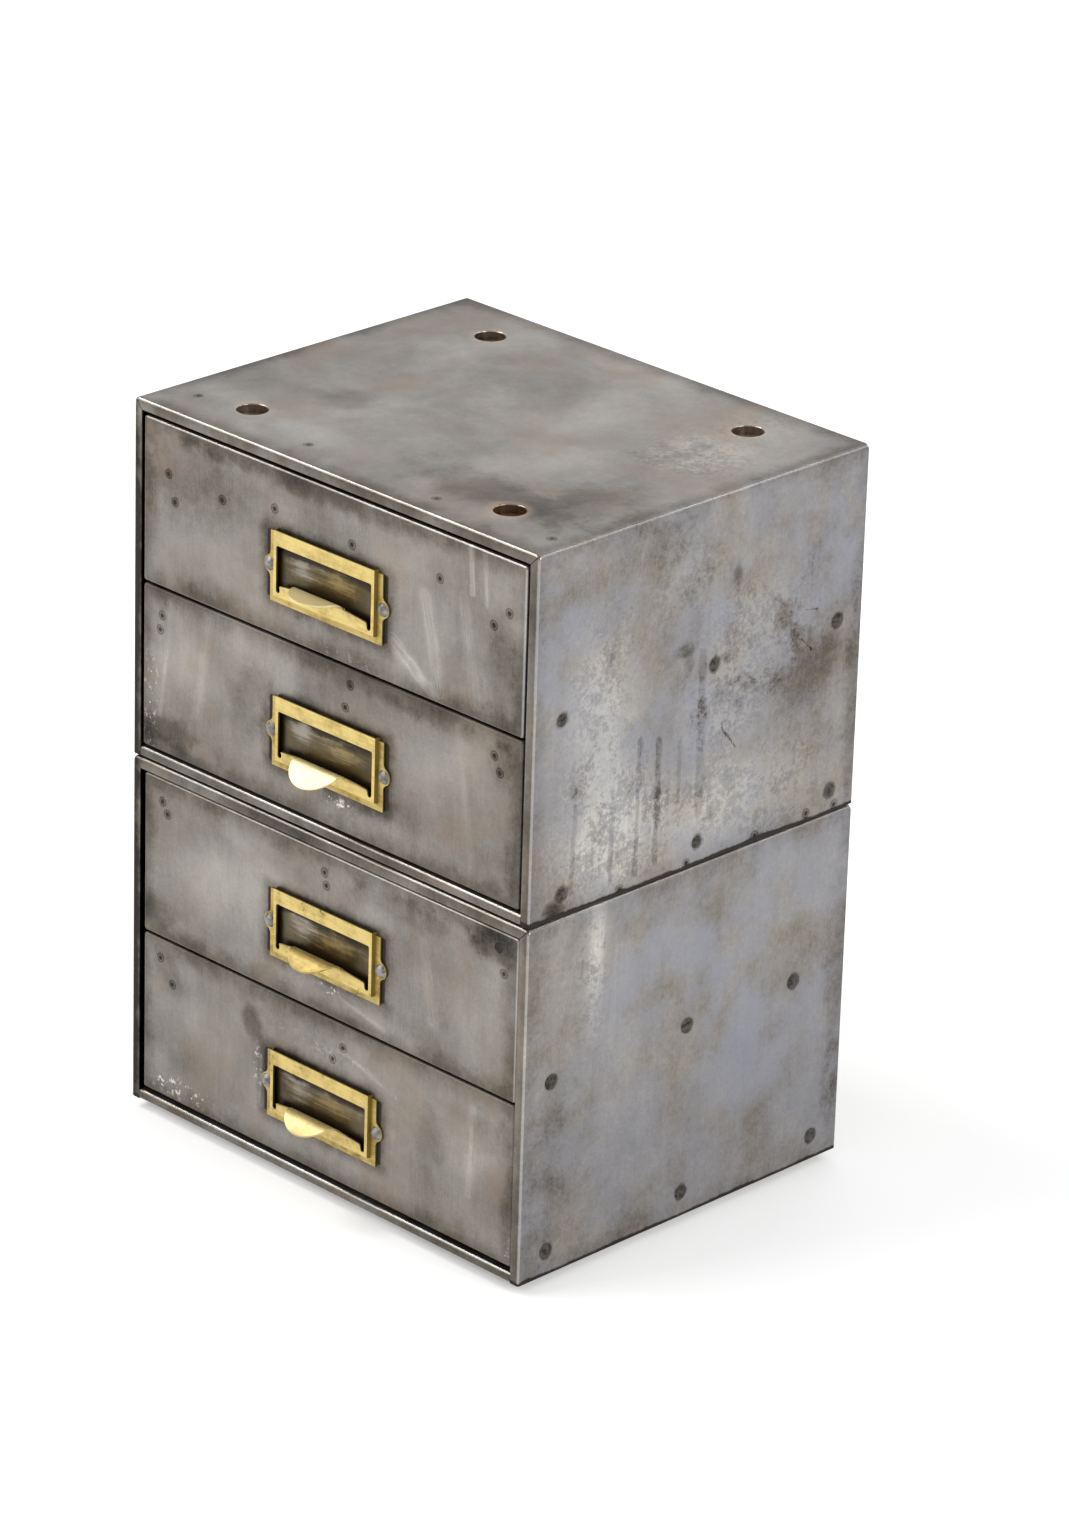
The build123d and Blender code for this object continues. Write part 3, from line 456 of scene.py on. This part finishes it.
def burnished_steel(name, look, low, high, marks=(), flat=(1, 0, 1), patches=(), strokes=(), plate=None,
                    hollow=False, behind=None, rivets=(), folds=0.34, shade=0.0, seed=0.0):
    """Bare cold-rolled mild-steel sheet, burnished and waxed over old brown toning.

    To the eye: a grey metal sheen with soft brown and blue-grey clouds, a fine ragged mottle, darker
    near every edge, and folds painted pale and bright: partly bare wear, partly a painted highlight.

    low and high are the piece's corners, marks its spot welds, flat the axes that they are measured
    in, rivets the middles of its rivets and plate the middle and half sizes of a pull on it. hollow
    paints shade on the inside of a shell, behind paints shade on what lies deeper than this, folds
    is how bright the folds are and shade darkens the whole piece.
    """
    material, tree = new_material(name)
    coordinates = add(tree, "ShaderNodeTexCoord")
    place = coordinates.outputs["Object"]
    facing = add(tree, "ShaderNodeVectorMath", {0: coordinates.outputs["Normal"]}, operation="ABSOLUTE")
    sideways, forwards, upwards = add(tree, "ShaderNodeSeparateXYZ", {0: facing}).outputs
    sheet = sheet_patterns(tree, place, seed)

    # a side's skin is rougher than a front's or a top's
    terms = [(sheet.clouds, total(tree, look.cloud_strength, [(sideways, -0.30)])),
             (sheet.blotches, total(tree, 0.28, [(sideways, 0.16)])),
             (sheet.mottle, total(tree, 0.14, [(sideways, 0.14)])),
             (sheet.pores, total(tree, 0.20, [(sideways, 0.06)])),
             # painted light: faces that look up are a little lighter
             (sheet.grain, look.grain_strength), (sheet.runs, 0.10), (upwards, 0.04)]
    walls = wall_distances(tree, place, low, high)
    # the sheet is darker near every edge
    edge_dark = fade(tree, edge_distance(tree, walls), 0.0, look.edge_dark_width,
                 ragged=[(sheet.blotches, 16 * MM)])
    terms.append((edge_dark, total(tree, -0.20, [(sideways, 0.12)])))
    # a fold is where no wall of the box is faced squarely
    squarest = add(tree, "ShaderNodeMath", {0: forwards, 1: upwards}, operation="MAXIMUM")
    squarest = add(tree, "ShaderNodeMath", {0: sideways, 1: squarest}, operation="MAXIMUM")
    fold = fade(tree, squarest, 0.84, 0.985)
    # folds painted brighter: partly bare wear, partly a painted highlight
    terms.append((fold, folds))

    more, amounts = patch_terms(tree, sheet, patches)
    terms += more + stroke_terms(tree, sheet, strokes)
    height = total(tree, 0.0, [(sheet.clouds, 1.4 * MM), (sheet.blotches, 0.14 * MM),
                               (sheet.mottle, 0.03 * MM)])
    if marks:
        rings, dish = weld_marks(tree, sheet, look, marks, flat)
        terms.append(rings)
        height = total(tree, height, [(dish, -MARK_DEPTH)])
    if rivets:
        # dark toning round each rivet of a side
        gap = nearest(tree, place, rivets, (0, 1, 1))
        halo = fade(tree, gap, *RIVET_HALO, -0.30, ragged=[(sheet.blotches, 4 * MM)])
        terms.append((halo, sideways))
    if hollow:
        # painted shade: inside the shell the sheet is darkened towards brown
        least = add(tree, "ShaderNodeMath", {0: walls[0], 1: walls[1]}, operation="MINIMUM")
        least = add(tree, "ShaderNodeMath", {0: least, 1: walls[2]}, operation="MINIMUM")
        terms.append((fade(tree, least, 0.9 * MM, 0.3 * MM), -0.42))
    if behind is not None:
        # painted shade on what lies deeper than the front, in the gaps round it
        depth = add(tree, "ShaderNodeSeparateXYZ", {0: place}).outputs[1]
        terms.append((fade(tree, depth, behind + 4.5 * MM, behind + 1.2 * MM), -0.50))
    overlay = None
    if plate:
        more, reflection_share = pull_terms(tree, sheet, look, *plate)
        terms += more
        # the pulls' windows are tinted by the painted reflection of the brass
        overlay = reflection_share, BRASS_REFLECTION_TINT
    elif amounts["rust"]:
        overlay = total(tree, 0.0, [(amounts["rust"], 0.75)]), RUSTY_CUP

    tone = total(tree, look.tone - shade, terms)
    colour = sheet_colour(tree, sheet, look, tone, sideways, amounts["blue"])
    if overlay:
        share, tint = overlay
        colour = add(tree, "ShaderNodeMix", {"Factor": share, "A": colour, "B": linear(tint)},
                     data_type="RGBA").outputs["Result"]
    gloss = total(tree, look.roughness,
                  [(sheet.blotches, 0.16), (sheet.mottle, 0.10), (sheet.pores, 0.10), (sheet.grain, 0.10),
                   (fold, 0.12 - 0.8 * folds), (edge_dark, 0.05)])
    bump = add(tree, "ShaderNodeBump", {"Strength": 0.6, "Distance": 1.0, "Height": height})
    close_material(tree, Base_Color=colour, Metallic=look.metallic, Roughness=gloss, Normal=bump)
    return material


def stamped_brass(name, look, high, pale, neglect, seed):
    """Stamped sheet brass, lacquer long gone.

    To the eye: pale yellow metal painted paler on the raised edges and the lip, partly rubbed wear and
    partly a painted highlight, olive-brown tarnish in the creases, and a few brown flecks. pale is how
    much paler the lip is painted, and neglect how dull and flecked it is.
    """
    material, tree = new_material(name)
    coordinates = add(tree, "ShaderNodeTexCoord")
    place = coordinates.outputs["Object"]
    tarnish = noise(tree, place, seed, TARNISH_SIZE, detail=6.0, roughness=0.62)
    specks = noise(tree, place, seed + 5.0, SPECK_SIZE, detail=3.0)
    streaks = noise(tree, place, seed + 8.0, STREAK_SIZE, detail=3.0, roughness=0.7)
    # height off the drawer's front: the plate's foot and the step of its frame stay dull
    depth = add(tree, "ShaderNodeSeparateXYZ", {0: place}).outputs[1]
    off = add(tree, "ShaderNodeMath", {0: high[1], 1: depth}, operation="SUBTRACT")
    turned = add(tree, "ShaderNodeSeparateXYZ", {0: coordinates.outputs["Normal"]}).outputs[1]
    steep = fade(tree, add(tree, "ShaderNodeMath", {0: turned}, operation="ABSOLUTE"), 0.55, 0.97)
    creased = total(tree, fade(tree, off, *PLATE_FOOT, 0.36, ragged=[(tarnish, 1.2 * MM)]),
                    [(steep, fade(tree, off, *FRAME_STEP, 1.1))])
    # the lip stands off the plate: it is painted pale, partly rubbed by fingers and partly a painted
    # highlight, or it's left to dull
    rubbed = fade(tree, off, *LIP_RISE, pale, ragged=[(tarnish, 6 * MM)])
    neglected = fade(tree, off, *LIP_RISE, 0.55 * neglect, ragged=[(tarnish, 6 * MM)])
    dull = total(tree, 0.06, [(fade(tree, tarnish, 0.18, -0.08), 0.42), (streaks, 0.9), (creased, 1.0),
                              (neglected, 0.8)])
    fleck = fade(tree, specks, 0.22, 0.12, neglect, ragged=[(tarnish, 0.5)])
    colour = opaque(look.brass_colour)
    # the pale layer on the lip is partly rubbed brass and partly a painted highlight
    for share, layer in ((dull, opaque(look.brass_tarnish)), (rubbed, linear("#F2E4B0")),
                         (fleck, linear("#6B5426"))):
        colour = add(tree, "ShaderNodeMix", {"Factor": share, "A": colour, "B": layer},
                     data_type="RGBA").outputs["Result"]
    gloss = total(tree, look.brass_roughness,
                  [(tarnish, 0.35), (creased, 0.25), (rubbed, 0.14), (neglected, 0.3)])
    height = total(tree, 0.0, [(tarnish, 0.7 * MM), (specks, 0.06 * MM), (streaks, 0.04 * MM)])
    bump = add(tree, "ShaderNodeBump", {"Strength": 0.5, "Distance": 1.0, "Height": height})
    close_material(tree, Base_Color=colour, Metallic=look.brass_metallic, Roughness=gloss, Normal=bump)
    return material


def rivet_steel(name, bright, dark, seed):
    """Cold-headed mild-steel rivets: a dull grey skin, brown where it never gets rubbed."""
    material, tree = new_material(name)
    place = add(tree, "ShaderNodeTexCoord").outputs["Object"]
    skin = noise(tree, place, seed, RIVET_SKIN_SIZE)
    colour = add(tree, "ShaderNodeMix", {"Factor": fade(tree, skin, 0.16, -0.14), "A": linear(bright),
                                         "B": linear(dark)}, data_type="RGBA").outputs["Result"]
    bump = add(tree, "ShaderNodeBump", {"Strength": 0.4, "Distance": 0.6 * MM, "Height": skin})
    close_material(tree, Base_Color=colour, Metallic=0.9, Roughness=0.55, Normal=bump)
    return material


def dress(node, material):
    """Gives a CAD node one material in every slot."""
    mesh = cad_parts[node].data
    if not mesh.materials:
        mesh.materials.append(material)
    for index in range(len(mesh.materials)):
        mesh.materials[index] = material


class SteelLook(bpy.types.PropertyGroup):
    """Finish of the bare steel."""

    steel_colour: bpy.props.FloatVectorProperty(
        name="Steel", description="Plain burnished sheet", subtype="COLOR", size=3, min=0, max=1,
        default=linear("#8D8882")[:3])
    steel_rubbed: bpy.props.FloatVectorProperty(
        name="Rubbed Steel", description="Sheet rubbed paler", subtype="COLOR", size=3, min=0, max=1,
        default=linear("#A9A49C")[:3])
    # the palest colour of the sheet: on the folds it is partly bare wear and partly a painted highlight
    steel_bright: bpy.props.FloatVectorProperty(
        name="Bright Steel", description="Steel worn bare on folds", subtype="COLOR", size=3, min=0, max=1,
        default=linear("#D8D4CC")[:3])
    toning_brown: bpy.props.FloatVectorProperty(
        name="Brown Toning", description="Old brown toning", subtype="COLOR", size=3, min=0, max=1,
        default=linear("#635C53")[:3])
    # darkest colour of the sheet: grime and scale, and painted shade in hollows, gaps and seams
    dark_grime_and_shade: bpy.props.FloatVectorProperty(
        name="Dark Toning", description="Grime and scale", subtype="COLOR", size=3, min=0, max=1,
        default=linear("#2B2623")[:3])
    tone: bpy.props.FloatProperty(
        name="Tone", description="Overall lightness of the sheet", default=0.49, min=0, max=1)
    temper_blue: bpy.props.FloatVectorProperty(
        name="Temper Blue", description="Blue-grey temper colour", subtype="COLOR", size=3, min=0, max=1,
        default=linear("#989CAA")[:3])
    temper_brown: bpy.props.FloatVectorProperty(
        name="Temper Brown", description="Warm brown temper colour", subtype="COLOR", size=3, min=0, max=1,
        default=linear("#8D7967")[:3])
    cloud_strength: bpy.props.FloatProperty(
        name="Clouds", description="Strength of the broad clouds of toning", default=0.75, min=0, max=2)
    grain_strength: bpy.props.FloatProperty(
        name="Grain", description="Strength of the brushed grain", default=0.13, min=0, max=1)
    roughness: bpy.props.FloatProperty(
        name="Roughness", description="Softness of the sheen", default=0.42, min=0.05, max=1)
    metallic: bpy.props.FloatProperty(
        name="Metallic", description="Share of bare metal over oxide", default=0.85, min=0, max=1)
    # how far in from each edge the sheet is darker
    edge_dark_width: bpy.props.FloatProperty(
        name="Edge Toning", description="Width of the dark toning along edges", default=0.014,
        min=0.001, unit="LENGTH")
    # width of the grime and painted shadow round each pull
    pull_grime_and_shadow_width: bpy.props.FloatProperty(
        name="Pull Grime", description="Width of the grime round each pull", default=0.011,
        min=0.001, unit="LENGTH")
    mark_radius: bpy.props.FloatProperty(
        name="Mark Radius", description="Radius of a spot-weld mark", default=0.0032,
        min=0.0005, unit="LENGTH")


class BrassLook(bpy.types.PropertyGroup):
    """Finish of the brass pulls."""

    brass_colour: bpy.props.FloatVectorProperty(
        name="Brass", description="Rubbed brass", subtype="COLOR", size=3, min=0, max=1,
        default=linear("#DCC47C")[:3])
    brass_tarnish: bpy.props.FloatVectorProperty(
        name="Tarnish", description="Brown tarnish", subtype="COLOR", size=3, min=0, max=1,
        default=linear("#8C7434")[:3])
    brass_roughness: bpy.props.FloatProperty(
        name="Roughness", description="Softness of the brass", default=0.32, min=0.05, max=1)
    brass_metallic: bpy.props.FloatProperty(
        name="Metallic", description="Share of bare metal over the dull film", default=0.78, min=0, max=1)


class StudioLook(bpy.types.PropertyGroup):
    """Floor, lights and camera."""

    floor_colour: bpy.props.FloatVectorProperty(
        name="Floor", description="Pale studio floor", subtype="COLOR", size=3, min=0, max=1,
        default=linear("#F2F2F0")[:3])
    azimuth: bpy.props.FloatProperty(
        name="Azimuth", description="Camera's turn from the front", subtype="ANGLE",
        default=math.radians(44.5914))
    elevation: bpy.props.FloatProperty(
        name="Elevation", description="Camera's downward tilt", subtype="ANGLE",
        default=math.radians(23.1123))
    roll: bpy.props.FloatProperty(
        name="Roll", description="Camera's roll", subtype="ANGLE", default=math.radians(1.6953))
    camera_place: bpy.props.FloatVectorProperty(
        name="Camera Place", description="Camera's position", subtype="TRANSLATION", size=3,
        default=(2.29982, -2.30324, 1.62942))
    lens: bpy.props.FloatProperty(
        name="Lens", description="Focal length in millimetres", default=155.26, min=10)
    shift: bpy.props.FloatVectorProperty(
        name="Shift", description="Lens shift that the framing needs", size=2, default=(0.00290, -0.02020))


def on_front(unit, x, z):
    """A point on the plane of the fronts, from millimetres off the unit's left side and underside."""
    low, _ = CASING[unit]
    return (low[0] + x * MM, low[1], low[2] + z * MM)


def on_side(unit, y, z):
    """A point on a unit's right side, from millimetres behind the front and above the underside."""
    low, high = CASING[unit]
    return (high[0], low[1] + y * MM, low[2] + z * MM)


def on_top(unit, x, y):
    """A point on a unit's top, from millimetres off the left side and behind the front."""
    low, high = CASING[unit]
    return (low[0] + x * MM, low[1] + y * MM, high[2])


def rivet_places(unit):
    """The runner rivets of a unit's drawers, on the middle plane that both sides are measured from."""
    places = []
    for drawer in DRAWERS:
        if UNIT_OF[drawer] == unit:
            lower_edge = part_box(f"drawer_{drawer}_front")[0][2]
            above, row = RIVET_ROWS[drawer]
            places += [(0, y * MM, lower_edge + above * MM) for y in row]
    return places


class CABINET_OT_casings(bpy.types.Operator):
    """Finishes the casings: toned sheet, weld marks, pale skin, dried runs and smudges"""

    bl_idname = "cabinet.casings"
    bl_label = "Finish Casings"

    def execute(self, context):
        look = context.scene.steel_look
        for unit, seed in (("upper", 2.3), ("lower", 9.1)):
            marks = []
            if unit == "upper":
                marks = [on_side(unit, *mark) for mark in SIDE_MARKS]
                marks += [on_top(unit, *mark) for mark in TOP_MARKS]
            patches = [(on_side(unit, y, z), (40, ry, rz), kind, strength)
                       for y, z, ry, rz, kind, strength in SIDE_PATCHES[unit]]
            patches += [(on_top(unit, x, y), (rx, ry, 12), kind, strength)
                        for x, y, rx, ry, kind, strength in TOP_PATCHES[unit]]
            patches += [(on_top(unit, *cup), CUP_RUST, "rust", 1.0) for cup in CUP_PLACES]
            for on_sheet, (spot, radii, strength) in ((on_side, SEAM_SHADE), (on_front, FLANGE_DARKENING)):
                patches.append((on_sheet(unit, *spot), radii, "tone", strength))
            strokes = [(on_side(unit, y0, z0), on_side(unit, y1, z1), half_width, strength)
                       for y0, z0, y1, z1, half_width, strength in SIDE_STROKES[unit]]
            material = burnished_steel(f"burnished_steel_{unit}_casing", look, *CASING[unit], marks=marks,
                                       flat=(1, 1, 1), patches=patches, strokes=strokes, hollow=True,
                                       rivets=rivet_places(unit), seed=seed)
            dress(f"{unit}_casing", material)
        return {"FINISHED"}


class CABINET_OT_drawer_fronts(bpy.types.Operator):
    """Finishes the drawer fronts: pressed weld marks, rubbed strokes, grime and painted shadow round each
    pull, and painted shade, a painted brass reflection and a painted highlight in its window
    """

    bl_idname = "cabinet.drawer_fronts"
    bl_label = "Finish Drawer Fronts"

    def execute(self, context):
        look = context.scene.steel_look
        for drawer in DRAWERS:
            unit = UNIT_OF[drawer]
            low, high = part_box(f"drawer_{drawer}_front")
            marks = [on_front(unit, *mark) for mark in FRONT_MARKS[drawer]]
            patches = [(on_front(unit, x, z), (rx, 30, rz), kind, strength)
                       for x, z, rx, rz, kind, strength in FRONT_PATCHES[drawer]]
            strokes = [(on_front(unit, x0, z0), on_front(unit, x1, z1), half_width, strength)
                       for x0, z0, x1, z1, half_width, strength in FRONT_STROKES[drawer]]
            plate_low, plate_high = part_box(f"drawer_{drawer}_pull")
            middle = tuple((a + b) / 2 for a, b in zip(plate_low, plate_high))
            half = tuple((b - a) / 2 - 3 * MM for a, b in zip(plate_low, plate_high))
            # the folds of the upper drawer of each unit are painted bright: partly rubbed wear, partly a
            # painted highlight
            material = burnished_steel(f"burnished_steel_front_{drawer}", look, low, high, marks=marks,
                                       patches=patches, strokes=strokes, plate=(middle, half),
                                       behind=low[1], folds=0.30 if drawer in (1, 3) else -0.02,
                                       seed=drawer * 1.7)
            dress(f"drawer_{drawer}_front", material)
        return {"FINISHED"}


class CABINET_OT_inner_sheets(bpy.types.Operator):
    """Finishes the floor pans, backs, runners, trays and stiffeners"""

    bl_idname = "cabinet.inner_sheets"
    bl_label = "Finish Inner Sheets"

    def execute(self, context):
        look = context.scene.steel_look
        names = []
        for unit in UNITS:
            names += [f"{unit}_bottom_pan", f"{unit}_back_panel", f"{unit}_top_stiffener", f"{unit}_feet"]
        for drawer in DRAWERS:
            names += [f"{UNIT_OF[drawer]}_runner_{drawer}_{side}" for side in ("left", "right")]
            names += [f"drawer_{drawer}_{piece}" for piece in ("front_stiffener", "tray", "tray_back")]
        for index, name in enumerate(names):
            # pieces inside the shell are darker than those that show outside
            shade = 0.0 if name.endswith(("bottom_pan", "back_panel")) else 0.16
            dress(name, burnished_steel(f"burnished_steel_{name}", look, *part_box(name), shade=shade,
                                        seed=20 + index * 0.9))
        return {"FINISHED"}


class CABINET_OT_pulls(bpy.types.Operator):
    """Finishes the brass pulls"""

    bl_idname = "cabinet.pulls"
    bl_label = "Finish Pulls"

    def execute(self, context):
        for drawer in DRAWERS:
            _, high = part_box(f"drawer_{drawer}_pull")
            pale, neglect = LIP_WEAR_AND_HIGHLIGHT[drawer]
            dress(f"drawer_{drawer}_pull",
                  stamped_brass(f"stamped_brass_{drawer}", context.scene.brass_look, high, pale, neglect,
                                seed=drawer * 2.1))
        return {"FINISHED"}


class CABINET_OT_rivets(bpy.types.Operator):
    """Finishes the rivets of the pulls and of the runners"""

    bl_idname = "cabinet.rivets"
    bl_label = "Finish Rivets"

    def execute(self, context):
        for drawer in DRAWERS:
            dress(f"drawer_{drawer}_pull_rivets",
                  rivet_steel(f"rivet_steel_pull_{drawer}", "#A6A3A0", "#6F6963", seed=drawer))
        for unit in UNITS:
            dress(f"{unit}_runner_rivets",
                  rivet_steel(f"rivet_steel_{unit}", "#5E5954", "#2B2724", seed=5))
        return {"FINISHED"}


def lay_floor(scene, colour):
    """A flat square under the feet, painted matt: pale to the camera, and it keeps a soft shadow."""
    half = FLOOR_HALF
    mesh = bpy.data.meshes.new("studio_floor")
    mesh.from_pydata([(-half, -half, 0), (half, -half, 0), (half, half, 0), (-half, half, 0)], [],
                     [(0, 1, 2, 3)])
    floor = bpy.data.objects.new("studio_floor", mesh)
    scene.collection.objects.link(floor)
    material, tree = new_material("painted_floor")
    path = add(tree, "ShaderNodeLightPath")
    seen = add(tree, "ShaderNodeMath", {0: path.outputs["Is Camera Ray"], 1: path.outputs["Is Glossy Ray"]},
               operation="MAXIMUM")
    paint = add(tree, "ShaderNodeBsdfDiffuse", {"Color": opaque(colour)})
    glow = add(tree, "ShaderNodeEmission",
               {"Color": (1, 1, 1, 1), "Strength": total(tree, 0.0, [(seen, FLOOR_GLOW)])})
    both = add(tree, "ShaderNodeAddShader", {0: paint, 1: glow})
    add(tree, "ShaderNodeOutputMaterial", {"Surface": both})
    mesh.materials.append(material)


def fill_air(scene):
    """A plain world: dim light from all round, and brighter where the camera sees it."""
    world = bpy.data.worlds.new("studio_air")
    scene.world = world
    world.use_nodes = True
    tree = world.node_tree
    tree.nodes.clear()
    path = add(tree, "ShaderNodeLightPath")
    strength = total(tree, AIR_STRENGTH, [(path.outputs["Is Camera Ray"], AIR_GLOW)])
    air = add(tree, "ShaderNodeBackground", {"Color": linear("#F6F7FA"), "Strength": strength})
    add(tree, "ShaderNodeOutputWorld", {"Surface": air})


def hang_softbox(scene, name, where, size, power):
    """An area light aimed at the middle of the cabinet."""
    lamp = bpy.data.lights.new(name, "AREA")
    lamp.shape = "RECTANGLE"
    lamp.size, lamp.size_y = size
    lamp.energy = power
    holder = bpy.data.objects.new(name, lamp)
    aim = LIGHT_TARGET - Vector(where)
    holder.matrix_world = Matrix.Translation(where) @ aim.to_track_quat("-Z", "Y").to_matrix().to_4x4()
    scene.collection.objects.link(holder)


def place_camera(scene, look):
    """The camera, turned by azimuth from the front, tilted down and rolled about its own axis."""
    az, el, roll = look.azimuth, look.elevation, look.roll
    forward = Vector((-math.sin(az) * math.cos(el), math.cos(az) * math.cos(el), -math.sin(el)))
    level = forward.cross(Vector((0, 0, 1))).normalized()
    upward = level.cross(forward)
    right = math.cos(roll) * level + math.sin(roll) * upward
    up = -math.sin(roll) * level + math.cos(roll) * upward
    camera = bpy.data.cameras.new("photo_camera")
    camera.sensor_width = SENSOR_WIDTH
    camera.lens = look.lens
    camera.shift_x, camera.shift_y = look.shift
    camera.clip_end = CLIP_END
    holder = bpy.data.objects.new("photo_camera", camera)
    turn = Matrix((right, up, -forward)).transposed().to_4x4()
    holder.matrix_world = Matrix.Translation(Vector(look.camera_place)) @ turn
    scene.collection.objects.link(holder)
    scene.camera = holder


class CABINET_OT_studio(bpy.types.Operator):
    """Sets the pale floor, the soft lights and the camera"""

    bl_idname = "cabinet.studio"
    bl_label = "Set Studio"

    def execute(self, context):
        look = context.scene.studio_look
        lay_floor(context.scene, look.floor_colour)
        fill_air(context.scene)
        for softbox in SOFTBOXES:
            hang_softbox(context.scene, *softbox)
        place_camera(context.scene, look)
        context.scene.view_settings.view_transform = "Standard"
        return {"FINISHED"}


class CABINET_PT_panel(bpy.types.Panel):
    """The cabinet's finishes in the sidebar"""

    bl_idname = "CABINET_PT_panel"
    bl_label = "Drawer Cabinet"
    bl_space_type = "VIEW_3D"
    bl_region_type = "UI"
    bl_category = "Cabinet"

    def draw(self, context):
        for group in GROUPS:
            settings = getattr(context.scene, group)
            box = self.layout.box()
            for name in settings.bl_rna.properties.keys():
                if name not in ("rna_type", "name"):
                    box.prop(settings, name)
        for operator in OPERATORS:
            self.layout.operator(operator.bl_idname)


OPERATORS = (CABINET_OT_casings, CABINET_OT_drawer_fronts, CABINET_OT_inner_sheets, CABINET_OT_pulls,
             CABINET_OT_rivets, CABINET_OT_studio)
GROUPS = {"steel_look": SteelLook, "brass_look": BrassLook, "studio_look": StudioLook}
CLASSES = tuple(GROUPS.values()) + OPERATORS + (CABINET_PT_panel,)


def register():
    """Registers the settings, the operators and the panel."""
    for cls in CLASSES:
        bpy.utils.register_class(cls)
    for name, group in GROUPS.items():
        setattr(bpy.types.Scene, name, bpy.props.PointerProperty(type=group))


def unregister():
    """Takes away all that register has added."""
    for name in GROUPS:
        delattr(bpy.types.Scene, name)
    for cls in reversed(CLASSES):
        bpy.utils.unregister_class(cls)


def main():
    register()
    for operator in OPERATORS:
        area, name = operator.bl_idname.split(".")
        getattr(getattr(bpy.ops, area), name)()


if __name__ == "__main__":
    main()
